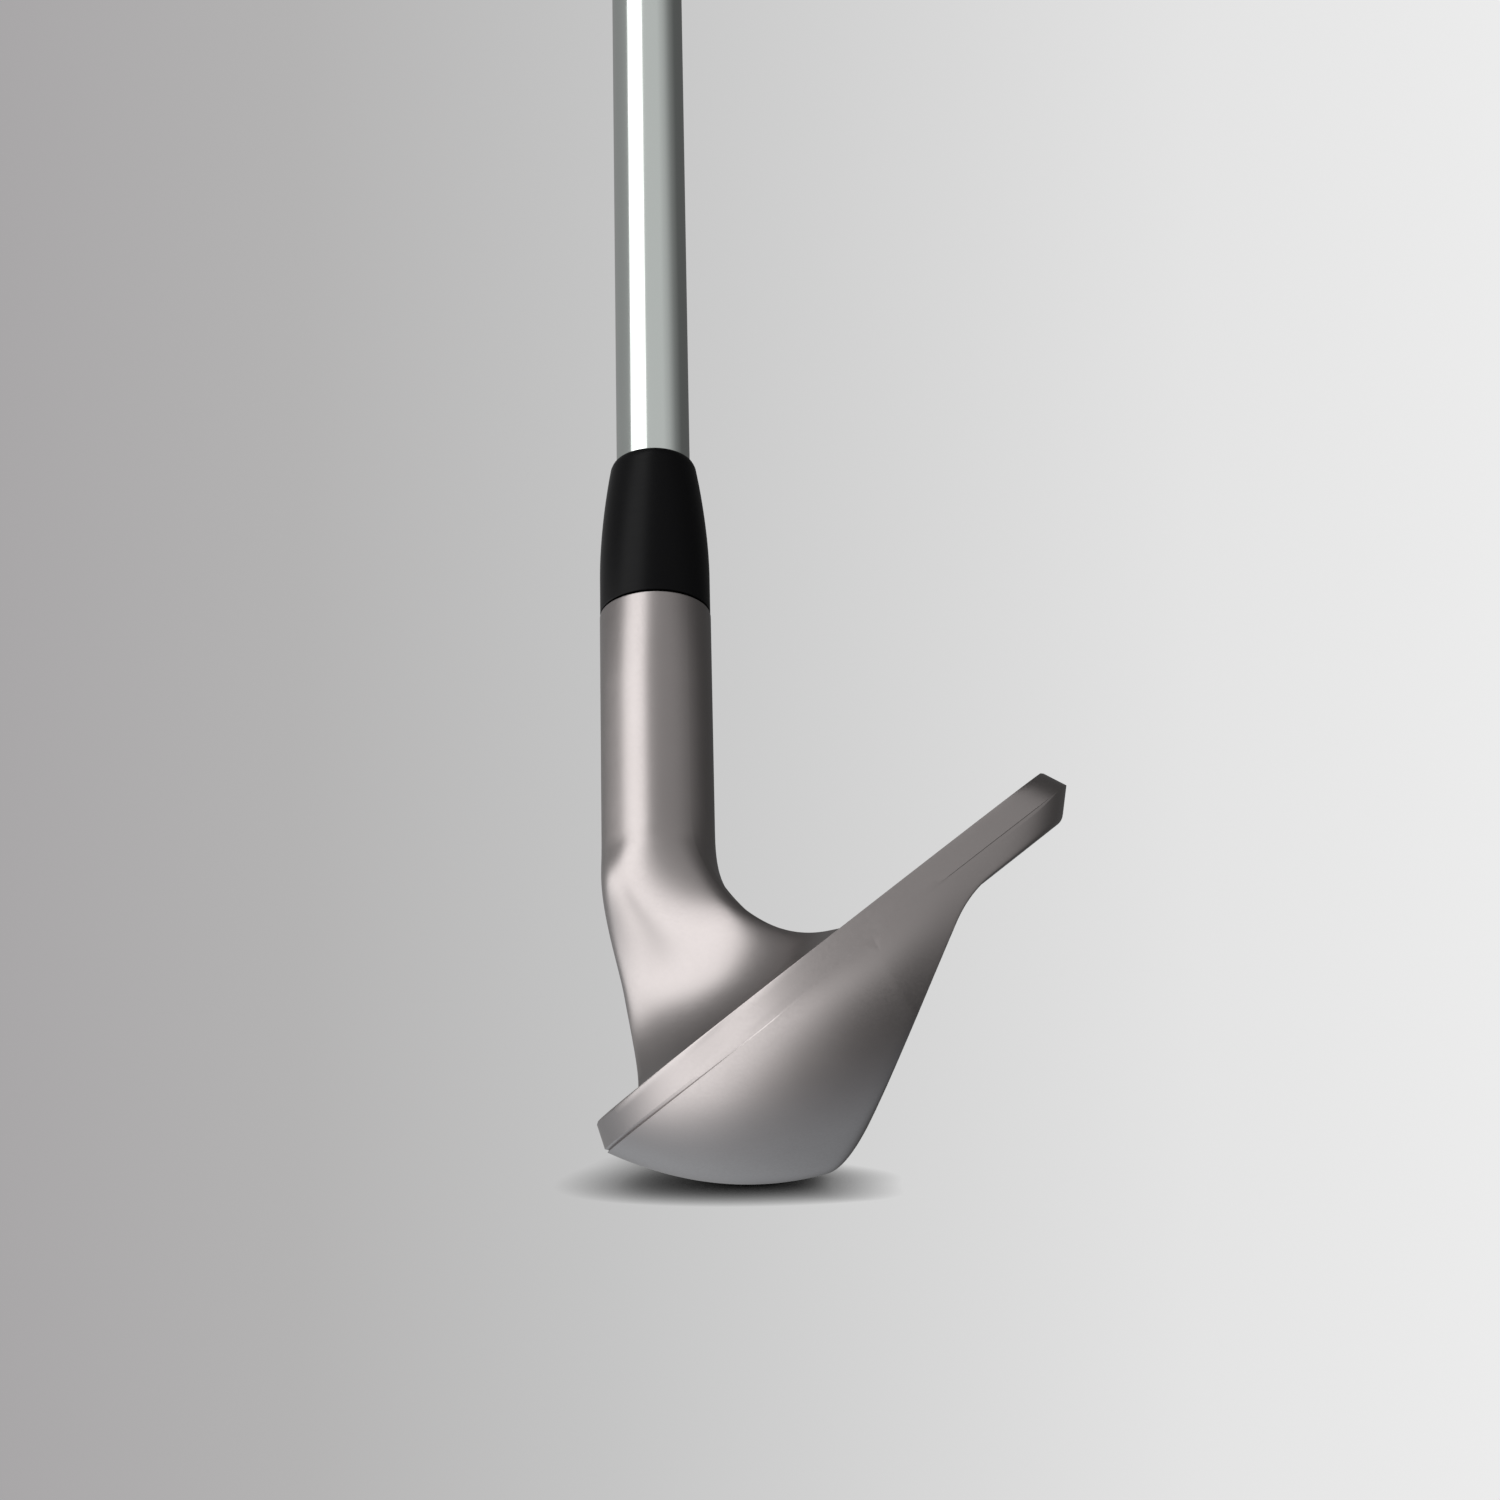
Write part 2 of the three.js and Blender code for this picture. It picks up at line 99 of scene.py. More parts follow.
# Blade outline, looking at the face: s runs from the shaft axis towards the toe, v runs up the face.
HEEL_S = 5
TOE_S = 66
TOE_V = 39
SOLE_FLAT_S = 26
LEADING_ROUND = 2.5
HEEL_RISE = 1.1
TOP_LINE_HEEL_V = 33
TOP_LINE_SLOPE = 0.68
TOP_LINE_EASE = 9
TOP_ROUND_S = 46
TOP_ROUND = 2.3

# Blade section: w runs straight back from the face.
FACE_FOOT_X, FACE_FOOT_Z = -3.0, 6.88
SOLE_START, SOLE_BELLY, SOLE_END = (-1.0, 3.25), (6.3, 17.0), (20.4, 21.0)
BACK_V, BACK_W, BACK_SLOPE = 23.9, 18.45, -0.544
THIN_BLADE = 5.2
RIM = 2.6
RIM_RISE = 1.1
FLARE_HEIGHT = 30
BACK_FILLET = 1.6
TRAILING_ROUND = 1.4
BEVEL_ROUND = 0.5
HEEL_SOLE_SHARE = 0.72

# The heel turns round a line above the crotch.
TURN_Y, TURN_Z = -HEEL_S, 46
BLEND_ABOVE_TURN = 5.6
TOP_BLEND = (-0.16, 1.48)
SOLE_BLEND = (0.05, 1.1)
BLEND_PAST_HEEL = 20.7
LEADING_ANGLE = radians(218.4)
FACE_SPAN = radians(170)
CROTCH_SAG = 1.5
CROTCH_BELL = (0.08, 1.15)
HEEL_BULGE = 0.79
BULGE_AT = 0.13
BULGE_BELL = (-0.05, 0.95)
FACE_HOLD = 0.125
HELD_FACE = (0.145, 0.9)

# The crease follows the band round the toe, and fades out behind the rim and at the toe's end.
CREASE_END_S, CREASE_FADE_S, CREASE_FADE_V = 59, 4, 6
LEAST_CREASE = 0.004

# The toe is drawn back behind the face, and the sole grows wider towards it.
TOE_RELIEF = 9.0
TOE_RELIEF_W = 14.0
BACK_TAPER = 0.07
BACK_TAPER_S = 58

FACE_STEPS, RIM_STEPS, BACK_STEPS = 40, 4, 120
BLADE_RINGS, PAST_RINGS, TURN_RINGS, NECK_RINGS = 150, 32, 80, 16
TOE_CAP = 0.002  # the first ring stands this far inside the toe

SCORE_LINE_FIRST, SCORE_LINE_PITCH, SCORE_LINE_COUNT = 5.5, 3.6, 14
SCORE_LINE_HEEL_S, SCORE_LINE_TOE_S = 20, 53
SCORE_MARGIN_LOW, SCORE_MARGIN_HIGH = 3, 4.5
# A groove's section: shares of its depth, and half of its width there as a share of its width.
SCORE_SECTION = ((-1, 0.78), (0, 0.5), (0.75, 0.3), (1, 0.18))


# ---- what a user may change ----


class ClubSizes(bpy.types.PropertyGroup):
    """Sizes of the club's surface details"""

    edge_break: bpy.props.FloatProperty(
        name="Edge break", description="Width of the small flat left on the head's edges",
        default=0.22 * MM, min=0.0, max=0.5 * MM, unit="LENGTH", precision=5)
    crease_depth: bpy.props.FloatProperty(
        name="Crease depth",
        description="Depth of the fine line between the leading edge's band and the sole",
        default=0.28 * MM, min=0.0, max=0.4 * MM, unit="LENGTH", precision=5)
    score_width: bpy.props.FloatProperty(
        name="Score line width", description="Width of a groove at the face",
        default=0.9 * MM, min=0.3 * MM, max=1.2 * MM, unit="LENGTH", precision=5)
    score_depth: bpy.props.FloatProperty(
        name="Score line depth", description="Depth of a groove in the face",
        default=0.4 * MM, min=0.1 * MM, max=0.5 * MM, unit="LENGTH", precision=5)
    hatch_depth: bpy.props.FloatProperty(
        name="Grip hatch depth", description="Depth of the moulded grooves in the grip",
        default=0.5 * MM, min=0.0, max=0.9 * MM, unit="LENGTH", precision=5)
    blast_grain: bpy.props.FloatProperty(
        name="Blast grain", description="Size of the dimples that glass bead leaves in the steel",
        default=0.28 * MM, min=0.1 * MM, max=1.0 * MM, unit="LENGTH", precision=5)


def hex_colour(code):
    """An sRGB hex colour as linear red, green, blue and alpha."""
    parts = [int(code[i:i + 2], 16) / 255 for i in (1, 3, 5)]
    linear = [c / 12.92 if c <= 0.04045 else ((c + 0.055) / 1.055) ** 2.4 for c in parts]
    return (*linear, 1.0)


def colour_property(name, description, code):
    """A colour swatch whose default is an sRGB hex colour."""
    return bpy.props.FloatVectorProperty(
        name=name, description=description, default=hex_colour(code),
        size=4, min=0.0, max=1.0, subtype="COLOR")


class ClubColours(bpy.types.PropertyGroup):
    """Colours of the club's finishes"""

    steel: colour_property("Head steel", "Warm grey of the blasted head", "#8f8a89")
    chrome: colour_property("Shaft chrome", "Cool, faintly green chrome", "#c6cbc8")
    ferrule: colour_property("Ferrule", "Black of the turned plastic collar", "#070708")
    rubber: colour_property("Grip rubber", "Black of the moulded grip", "#1b1b1c")
    dark_side: colour_property("Backdrop, dark side", "Left end of the backdrop's fade", "#a9a7a8")
    light_side: colour_property("Backdrop, light side", "Right end of the backdrop's fade", "#ececec")


# ---- nodes and meshes ----


def add(tree, kind, inputs=None, stops=None, **settings):
    """Adds a node. Inputs are values or sockets by name or number. Stops fill a colour ramp."""
    node = tree.nodes.new(kind)
    for name, value in settings.items():
        setattr(node, name, value)
    for name, value in (inputs or {}).items():
        if isinstance(value, bpy.types.NodeSocket):
            tree.links.new(value, node.inputs[name])
        else:
            node.inputs[name].default_value = value
    for i, (place, shade) in enumerate(stops or []):
        ramp = node.color_ramp.elements
        stop = ramp[i] if i < len(ramp) else ramp.new(place)
        stop.position = place
        stop.color = shade if isinstance(shade, tuple) else (shade, shade, shade, 1.0)
    return node


def new_material(name):
    """An empty node material and its tree."""
    material = bpy.data.materials.new(name)
    material.use_nodes = True
    material.node_tree.nodes.clear()
    return material, material.node_tree


def finish_material(tree, shader):
    add(tree, "ShaderNodeOutputMaterial", {"Surface": shader.outputs[0]})


def mesh_object(name, points, faces, matrix, material, cad_node):
    """Makes a piece from points in millimetres, sets it on the club and lets it stand for its CAD node."""
    mesh = bpy.data.meshes.new(name)
    mesh.from_pydata((np.asarray(points) * MM).tolist(), [], faces)
    mesh.validate()
    mesh.materials.append(material)
    piece = bpy.data.objects.new(name, mesh)
    bpy.context.scene.collection.objects.link(piece)
    piece.matrix_world = matrix
    shade(mesh)
    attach(piece, "root")
    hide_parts(cad_node)
    return piece


def shade(mesh, sharpest=32):
    """Smooth shading that breaks at edges sharper than this many degrees."""
    mesh.polygons.foreach_set("use_smooth", [True] * len(mesh.polygons))
    mesh.set_sharp_from_angle(angle=radians(sharpest))


def skin(rings, closed_ends):
    """Quads between rings of as many points each, with a fan over each end when the ends are closed."""
    rings = np.asarray(rings)
    count, around = rings.shape[:2]
    points = rings.reshape(-1, 3)
    start = np.arange(count - 1)[:, None] * around
    near = np.arange(around)[None, :]
    far = (near + 1) % around
    quads = np.stack([start + near, start + far, start + around + far, start + around + near], -1)
    faces = quads.reshape(-1, 4).tolist()
    if closed_ends:
        points = np.vstack([points, rings[0].mean(0), rings[-1].mean(0)])
        first, last = count * around, count * around + 1
        top = (count - 1) * around
        faces += [[first, (i + 1) % around, i] for i in range(around)]
        faces += [[last, top + i, top + (i + 1) % around] for i in range(around)]
    return points, faces


def rounded(profile, steps=5):
    """A profile of [radius, distance, fillet] corners with each fillet drawn as a short arc."""
    made = []
    for i, (r, t, fillet) in enumerate(profile):
        corner = np.array([r, t], float)
        if not fillet:
            made.append(corner)
            continue
        before = np.array(profile[i - 1][:2]) - corner
        after = np.array(profile[(i + 1) % len(profile)][:2]) - corner
        start = corner + before / np.linalg.norm(before) * fillet
        end = corner + after / np.linalg.norm(after) * fillet
        for k in range(steps + 1):
            share = k / steps
            made.append((1 - share) ** 2 * start + 2 * share * (1 - share) * corner + share ** 2 * end)
    return np.array(made)


def turned(profile, segments):
    """Points and faces of a closed profile turned about Z. A start at radius 0 closes it on its axis."""
    angles = np.arange(segments) / segments * tau
    r, t = profile[:, 0], profile[:, 1] - HOLD_AT
    rings = np.stack([r[:, None] * np.cos(angles), r[:, None] * np.sin(angles), t[:, None] + 0 * angles], -1)
    points, faces = skin(rings, closed_ends=False)
    if r[0] > 1e-9:
        top = (len(r) - 1) * segments
        faces += [[top + i, top + (i + 1) % segments, (i + 1) % segments, i] for i in range(segments)]
    return points, faces


def turned_piece(name, profile, segments, material, cad_node):
    points, faces = turned(profile, segments)
    piece = mesh_object(name, points, faces, shaft_matrix(), material, cad_node)
    if profile[0][0] < 1e-9:
        weld(piece.data)
    return piece


def weld(mesh):
    """Merges points that lie on each other."""
    work = bmesh.new()
    work.from_mesh(mesh)
    bmesh.ops.remove_doubles(work, verts=work.verts, dist=1e-7)
    work.to_mesh(mesh)
    work.free()


def lean_matrix():
    """From the head's own frame, with the shaft axis meeting the floor at its origin, to the frame's."""
    lean = Matrix.Rotation(-LEAN, 4, "Y")
    hold = lean @ Vector((0, HOLD_AT * cos(LIE), HOLD_AT * sin(LIE)))
    return Matrix.Translation(-hold * MM) @ lean


def shaft_matrix():
    """From a frame with Z along the shaft and its origin at the hold to the CAD frame."""
    return Matrix.Rotation(-LEAN, 4, "Y") @ Matrix.Rotation(LIE - pi / 2, 4, "X")


# ---- head ----


def ease(x):
    t = np.clip(x, 0, 1)
    return t ** 3 * (t * (6 * t - 15) + 10)


def soft_min(a, b, k):
    h = np.clip(0.5 + 0.5 * (b - a) / k, 0, 1)
    return b * (1 - h) + a * h - k * h * (1 - h)


def lower_edge(s):
    """The leading edge and the lower half of the toe."""
    x = np.clip((s - SOLE_FLAT_S) / (TOE_S - SOLE_FLAT_S), 0, 1)
    toe = TOE_V * (1 - (1 - x ** LEADING_ROUND) ** (1 / LEADING_ROUND))
    y = np.clip((SOLE_FLAT_S - s) / (SOLE_FLAT_S - HEEL_S), 0, 1)
    return toe + HEEL_RISE * y * y * (3 - 2 * y)


def upper_edge(s):
    """The top line and the upper half of the toe."""
    d = s - HEEL_S
    run = np.where(d < TOP_LINE_EASE, d * d / (2 * TOP_LINE_EASE), d - TOP_LINE_EASE / 2)
    line = TOP_LINE_HEEL_V + TOP_LINE_SLOPE * run
    x = np.clip((s - TOP_ROUND_S) / (TOE_S - TOP_ROUND_S), 0, 1)
    return np.where(s <= TOP_ROUND_S, line, TOE_V + (line - TOE_V) * (1 - x ** TOP_ROUND) ** (1 / TOP_ROUND))


def sole_depth(v):
    """Depth of the sole at v: one quadratic curve from the leading edge to the trailing edge."""
    a = SOLE_START[0] - 2 * SOLE_BELLY[0] + SOLE_END[0]
    b = 2 * (SOLE_BELLY[0] - SOLE_START[0])
    c = SOLE_START[0] - v
    t = np.clip((-b + np.sqrt(np.maximum(b * b - 4 * a * c, 0))) / (2 * a), 0, 1.6)
    return (1 - t) ** 2 * SOLE_START[1] + 2 * t * (1 - t) * SOLE_BELLY[1] + t * t * SOLE_END[1]


def depth(s, v, heel, crest, foot, foot_w):
    """How deep the head is behind the face.

    The back starts at the rim's corner, at height crest. The sole starts at height foot and depth foot_w.
    """
    taper = BACK_TAPER * (np.clip(s, SOLE_FLAT_S, TOE_S) - BACK_TAPER_S)
    back = -soft_min(-(BACK_W + taper + BACK_SLOPE * (v - BACK_V)), -THIN_BLADE, BACK_FILLET)
    sole = sole_depth(v - foot + SOLE_START[0]) - SOLE_START[1] + foot_w
    body = soft_min(sole, back, TRAILING_ROUND)
    bevelled = soft_min(body, RIM + crest - v, BEVEL_ROUND)
    return SOLE_START[1] + (bevelled - SOLE_START[1]) * (1 - heel * (1 - HEEL_SOLE_SHARE))


def section(s, edge, crease):
    """One closed section of the blade: up the face, over the rim, down the back, round the leading edge."""
    bottom, top = float(lower_edge(s)), float(upper_edge(s))
    heel = float(ease((SOLE_FLAT_S - s) / (SOLE_FLAT_S - HEEL_S)))
    wide = sin(pi / 2 * min((top - bottom) / FLARE_HEIGHT, 1))
    line = max(crease * min((top - bottom) / CREASE_FADE_V, 1), LEAST_CREASE)
    rim_line = max(line * float(ease((s - CREASE_END_S) / CREASE_FADE_S)), LEAST_CREASE)
    edge *= wide
    foot = bottom + SOLE_START[0] * wide
    rise = RIM_RISE * wide * (1 - heel)
    foot_w = SOLE_START[1] * wide + RIM * (1 - wide)
    share = np.linspace(0, 1, FACE_STEPS)
    face = np.stack([bottom + edge + (top - bottom - 2 * edge) * share, 0 * share], -1)
    share = np.linspace(0, 1, RIM_STEPS, endpoint=False)
    rim = np.stack([top + rise * share, edge + (RIM - edge) * share], -1)
    corner = np.array([top + rise, RIM])
    groove = np.array([corner, corner + [-1.2 * rim_line, 0.2 * rim_line]])
    share = 0.5 - 0.5 * np.cos(pi * np.arange(BACK_STEPS) / BACK_STEPS)
    shoulder = top + rise - 1.4 * rim_line
    v = shoulder + (foot - shoulder) * share
    back = np.stack([v, depth(s, v, heel, top + rise, foot, foot_w)], -1)
    lip = np.array([foot, foot_w])
    crease_points = np.array([lip + [line, -0.35 * line], lip + [0, -1.6 * line]])
    share = np.linspace(0, 1, RIM_STEPS + 1)[1:, None]
    end = np.array([bottom, 0]) + (lip - [bottom, 0]) * edge / max(np.linalg.norm(lip - [bottom, 0]), 1e-6)
    band = crease_points[1] + (end - crease_points[1]) * share
    return np.vstack([face, rim, groove, back, crease_points, band])


def on_face(vw):
    """X and Z of section points."""
    v, w = vw[:, 0], vw[:, 1]
    return FACE_FOOT_X + v * sin(LOFT) + w * cos(LOFT), FACE_FOOT_Z + v * cos(LOFT) - w * sin(LOFT)


def bell(q, start, end):
    return np.sin(pi * np.clip((q - start) / (end - start), 0, 1)) ** 2


def toe_relief(s, w):
    """How far the toe is drawn back at depth w."""
    deep = np.maximum(w - RIM, 0) / TOE_RELIEF_W
    return TOE_RELIEF * deep ** 2 * ease((s - SOLE_FLAT_S) / (TOE_S - SOLE_FLAT_S))


class Neck:
    """Turns the blade's section at the heel into the round hosel."""

    def __init__(self, edge, crease):
        self.edge, self.crease = edge, crease
        vw = section(HEEL_S, edge, crease)
        x, z = on_face(vw)
        step = np.hypot(x - np.roll(x, -1), z - np.roll(z, -1))
        face, rest = step[:FACE_STEPS - 1], step[FACE_STEPS - 1:]
        turns = np.concatenate([[0], FACE_SPAN * face / face.sum(), (tau - FACE_SPAN) * rest / rest.sum()])
        self.angles = LEADING_ANGLE - np.cumsum(turns)[:-1]
        self.heights = np.clip(vw[:, 0] / vw[:, 0].max(), 0, 1)
        self.hold = np.where(np.arange(len(vw)) < FACE_STEPS, FACE_HOLD * bell(self.heights, *HELD_FACE), 0)
        self.round_r = TURN_Z * cos(LIE) - TURN_Y * sin(LIE) - HOSEL_R * np.sin(self.angles)

    def ring(self, angle, past, above):
        """The ring at an angle in the turn, past it on the blade's side, or above it on the hosel's side."""
        blade_x, blade_z = on_face(section(HEEL_S + past, self.edge, self.crease))
        blade_r = TURN_Z - blade_z
        q = 1 - angle / LIE + past / (blade_r * LIE) - above / (self.round_r * LIE)
        start = SOLE_BLEND[0] + (TOP_BLEND[0] - SOLE_BLEND[0]) * self.heights
        end = SOLE_BLEND[1] + (TOP_BLEND[1] - SOLE_BLEND[1]) * self.heights
        share = ease((q - start - self.hold) / (end - start - 2 * self.hold))
        sag = CROTCH_SAG * self.heights ** 2 * bell(q, *CROTCH_BELL)
        bulge = HEEL_BULGE * np.exp(-(((self.heights - BULGE_AT) / 0.2) ** 2)) * bell(q, *BULGE_BELL)
        x = HOSEL_R * np.cos(self.angles) * (1 - share) + blade_x * share - bulge
        r = self.round_r * (1 - share) + blade_r * share + sag
        y = TURN_Y - past + r * sin(angle) + above * cos(LIE)
        return np.stack([x, y, TURN_Z - r * cos(angle) + above * sin(LIE)], -1)

    def plain_ring(self, radius, at):
        """A plain ring round the shaft axis."""
        across = -radius * np.sin(self.angles)
        y = across * sin(LIE) + at * cos(LIE)
        return np.stack([radius * np.cos(self.angles), y, at * sin(LIE) - across * cos(LIE)], -1)


def head_rings(edge, crease):
    """Rings from the toe along the blade, round the heel, up the hosel and down into its bore."""
    rings = []
    first, last = TOE_S - TOE_CAP, HEEL_S + BLEND_PAST_HEEL
    for i in range(BLADE_RINGS):
        s = first - (first - last) * (1 - cos(pi / 2 * i / BLADE_RINGS))
        vw = section(s, edge, crease)
        x, z = on_face(vw)
        rings.append(np.stack([x, toe_relief(s, vw[:, 1]) - s, z], -1))
    neck = Neck(edge, crease)
    rings += [neck.ring(0, BLEND_PAST_HEEL * (1 - i / PAST_RINGS), 0) for i in range(PAST_RINGS + 1)]
    rings += [neck.ring(LIE * i / TURN_RINGS, 0, 0) for i in range(1, TURN_RINGS + 1)]
    rings += [neck.ring(LIE, 0, BLEND_ABOVE_TURN * i / NECK_RINGS) for i in range(1, NECK_RINGS + 1)]
    top = rounded([(HOSEL_R, 60, 0), (HOSEL_R, HOSEL_TOP_AT, 0.3), (BORE_R, HOSEL_TOP_AT, 0.25),
                   (BORE_R, BORE_FLOOR_AT, 0), (0.5, BORE_FLOOR_AT, 0)], 3)
    rings += [neck.plain_ring(radius, at) for radius, at in top]
    return np.array(rings)


def score_span(v):
    """The stretch of a score line at height v that lies well inside the face."""
    s = np.arange(SCORE_LINE_HEEL_S, SCORE_LINE_TOE_S, 0.25)
    inside = s[(lower_edge(s) + SCORE_MARGIN_LOW < v) & (v < upper_edge(s) - SCORE_MARGIN_HIGH)]
    return inside[0], inside[-1]


def score_cutters(width, cut):
    """Closed bars with sloping sides and round ends that cut the score lines."""
    points, faces = [], []
    bend = np.linspace(-pi / 2, pi / 2, 7)
    for i in range(SCORE_LINE_COUNT):
        v = SCORE_LINE_FIRST + i * SCORE_LINE_PITCH
        start, end = score_span(v)
        rings = []
        for w_share, half_share in SCORE_SECTION:
            w, half = cut * w_share, width * half_share
            out, up = half * np.cos(bend), half * np.sin(bend)
            s = np.concatenate([end - width / 2 + out, start + width / 2 - out])
            up = np.concatenate([up, -up])
            x, z = on_face(np.stack([v + up, np.full_like(up, w)], -1))
            rings.append(np.stack([x, -s, z], -1))
        bar, sides = skin(rings, closed_ends=True)
        faces += [[k + len(points) for k in side] for side in sides]
        points += bar.tolist()
    return points, faces


def cut_away(piece, points, faces, material):
    """Cuts a closed shape out of a piece for good."""
    mesh = bpy.data.meshes.new("cutter")
    mesh.from_pydata((np.asarray(points) * MM).tolist(), [], faces)
    mesh.materials.append(material)
    cutter = bpy.data.objects.new("cutter", mesh)
    cutter.matrix_world = piece.matrix_world
    bpy.context.scene.collection.objects.link(cutter)
    cut = piece.modifiers.new("cut", "BOOLEAN")
    cut.operation = "DIFFERENCE"
    cut.solver = "EXACT"
    cut.material_mode = "TRANSFER"
    cut.object = cutter
    bpy.context.view_layer.update()
    whole = piece.evaluated_get(bpy.context.evaluated_depsgraph_get())
    left = bpy.data.meshes.new_from_object(whole)
    piece.modifiers.remove(cut)
    bpy.data.objects.remove(cutter)
    piece.data = left


def blasted_steel(sizes, colours):
    """Forged carbon steel, bead-blasted and satin plated: soft wide highlights with a fine frosted grain."""
    material, tree = new_material("forged_steel_bead_blasted")
    place = add(tree, "ShaderNodeTexCoord").outputs["Object"]
    grain = add(tree, "ShaderNodeTexNoise", {"Vector": place, "Scale": 1 / sizes.blast_grain, "Detail": 2.0})
    cloud = add(tree, "ShaderNodeTexNoise", {"Vector": place, "Scale": 1 / (9 * MM), "Detail": 3.0})
    polish = add(tree, "ShaderNodeTexNoise", {"Vector": place, "Scale": 1 / (5 * MM), "Detail": 1.0})
    tint = add(tree, "ShaderNodeMix", {"Factor": cloud.outputs["Fac"], 6: colours.steel,
                                       7: hex_colour("#868180")}, data_type="RGBA")
    rough = add(tree, "ShaderNodeMapRange", {"Value": grain.outputs["Fac"], "From Min": 0.3, "From Max": 0.7,
                                             "To Min": 0.31, "To Max": 0.37})
    dimples = add(tree, "ShaderNodeBump", {"Height": grain.outputs["Fac"], "Strength": 0.12,
                                           "Distance": 0.02 * MM})
    waves = add(tree, "ShaderNodeBump", {"Height": polish.outputs["Fac"], "Strength": 0.05,
                                         "Distance": 0.2 * MM, "Normal": dimples.outputs["Normal"]})
    finish_material(tree, add(tree, "ShaderNodeBsdfPrincipled", {
        "Base Color": tint.outputs[2], "Metallic": 1.0, "Roughness": rough.outputs["Result"],
        "Normal": waves.outputs["Normal"]}))
    return material


def milled_steel():
    """Forged steel, blasted, then fly-cut across the face: darker, with fine arcs that catch the light."""
    material, tree = new_material("forged_steel_face_milled")
    place = add(tree, "ShaderNodeTexCoord").outputs["Object"]
    flat = add(tree, "ShaderNodeMapping", {"Vector": place, "Rotation": (0, LOFT - pi / 2, 0),
                                           "Location": (90 * MM, 35 * MM, 0)})
    arcs = add(tree, "ShaderNodeTexWave", {"Vector": flat.outputs[0], "Scale": tau / (20 * 0.8 * MM),
                                           "Distortion": 0.3, "Detail": 1.0},
               wave_type="RINGS", rings_direction="Z")
    grain = add(tree, "ShaderNodeTexNoise", {"Vector": place, "Scale": 1 / (0.25 * MM), "Detail": 2.0})
    tint = add(tree, "ShaderNodeMix", {"Factor": grain.outputs["Fac"], 6: hex_colour("#787372"),
                                       7: hex_colour("#8d8887")}, data_type="RGBA")
    rough = add(tree, "ShaderNodeMapRange", {"Value": arcs.outputs["Fac"], "To Min": 0.34, "To Max": 0.44})
    cuts = add(tree, "ShaderNodeBump", {"Height": arcs.outputs["Fac"], "Strength": 0.25,
                                        "Distance": 0.03 * MM})
    frost = add(tree, "ShaderNodeBump", {"Height": grain.outputs["Fac"], "Strength": 0.12,
                                         "Distance": 0.02 * MM, "Normal": cuts.outputs["Normal"]})
    finish_material(tree, add(tree, "ShaderNodeBsdfPrincipled", {
        "Base Color": tint.outputs[2], "Metallic": 1.0, "Roughness": rough.outputs["Result"],
        "Normal": frost.outputs["Normal"]}))
    return material


def mill_face(head):
    """Gives the flat of the face its own finish."""
    head.data.materials.append(milled_steel())
    milled = len(head.data.materials) - 1
    facing = Vector((-cos(LOFT), 0, sin(LOFT)))
    for polygon in head.data.polygons:
        middle = polygon.center.y / MM
        if polygon.normal.dot(facing) > 0.9999 and -TOE_S < middle < -HEEL_S - BLEND_PAST_HEEL / 2:
            polygon.material_index = milled


class CLUB_OT_head(bpy.types.Operator):
    """Build the forged head with its hosel, bore and score lines"""

    bl_idname = "club.head"
    bl_label = "Head"

    def execute(self, context):
        sizes, colours = context.scene.club_sizes, context.scene.club_colours
        steel = blasted_steel(sizes, colours)
        rings = head_rings(sizes.edge_break / MM, sizes.crease_depth / MM)
        points, faces = skin(rings, closed_ends=True)
        head = mesh_object("forged_head", points, faces, lean_matrix(), steel, "head")
        cutters = score_cutters(sizes.score_width / MM, sizes.score_depth / MM)
        cut_away(head, *cutters, steel)
        mill_face(head)
        shade(head.data)
        return {"FINISHED"}


# ---- shaft, ferrule, grip ----


def stretched(tree, place, across, along):
    """Coordinates for a pattern whose grain is this many millimetres across and along the shaft."""
    return add(tree, "ShaderNodeMapping", {
        "Vector": place, "Scale": (1 / (across * MM), 1 / (across * MM), 1 / (along * MM))})


def step_radius(step):
    return SHAFT_TIP_R + (SHAFT_BUTT_R - SHAFT_TIP_R) * step / STEP_COUNT


def shaft_profile():
    outside = [(SHAFT_TIP_R, SHAFT_TIP_AT, 0)]
    for step in range(1, STEP_COUNT + 1):
        at = FIRST_STEP_AT + (step - 1) * STEP_PITCH
        outside += [(step_radius(step - 1), at, 0.3), (step_radius(step), at + STEP_RAMP, 0.3)]
    butt_inner, tip_inner = SHAFT_BUTT_R - SHAFT_WALL_BUTT, SHAFT_TIP_R - SHAFT_WALL_TIP
    outside += [(SHAFT_BUTT_R, GRIP_END_AT, 0.1), (butt_inner, GRIP_END_AT, 0.1),
                (butt_inner, GRIP_END_AT - 12, 0), (tip_inner, SHAFT_TIP_AT + 30, 0),
                (tip_inner, SHAFT_TIP_AT, 0)]
    return rounded(outside, 3)


def chromed_steel(colours):
    """Drawn steel tube, polished and chrome plated: near-mirror with hair-fine lines along the tube."""
    material, tree = new_material("drawn_steel_chromed")
    place = add(tree, "ShaderNodeTexCoord").outputs["Object"]
    along = stretched(tree, place, 0.12, 14)
    hairs = add(tree, "ShaderNodeTexNoise", {"Vector": along.outputs[0], "Scale": 1.0, "Detail": 2.0})
    smears = add(tree, "ShaderNodeTexNoise", {"Vector": place, "Scale": 1 / (30 * MM), "Detail": 3.0})
    rough = add(tree, "ShaderNodeMapRange", {
        "Value": smears.outputs["Fac"], "From Min": 0.3, "From Max": 0.7, "To Min": 0.1, "To Max": 0.14})
    lines = add(tree, "ShaderNodeBump", {"Height": hairs.outputs["Fac"], "Strength": 0.03,
                                         "Distance": 0.01 * MM})
    finish_material(tree, add(tree, "ShaderNodeBsdfPrincipled", {
        "Base Color": colours.chrome, "Metallic": 1.0, "Roughness": rough.outputs["Result"],
        "Normal": lines.outputs["Normal"]}))
    return material


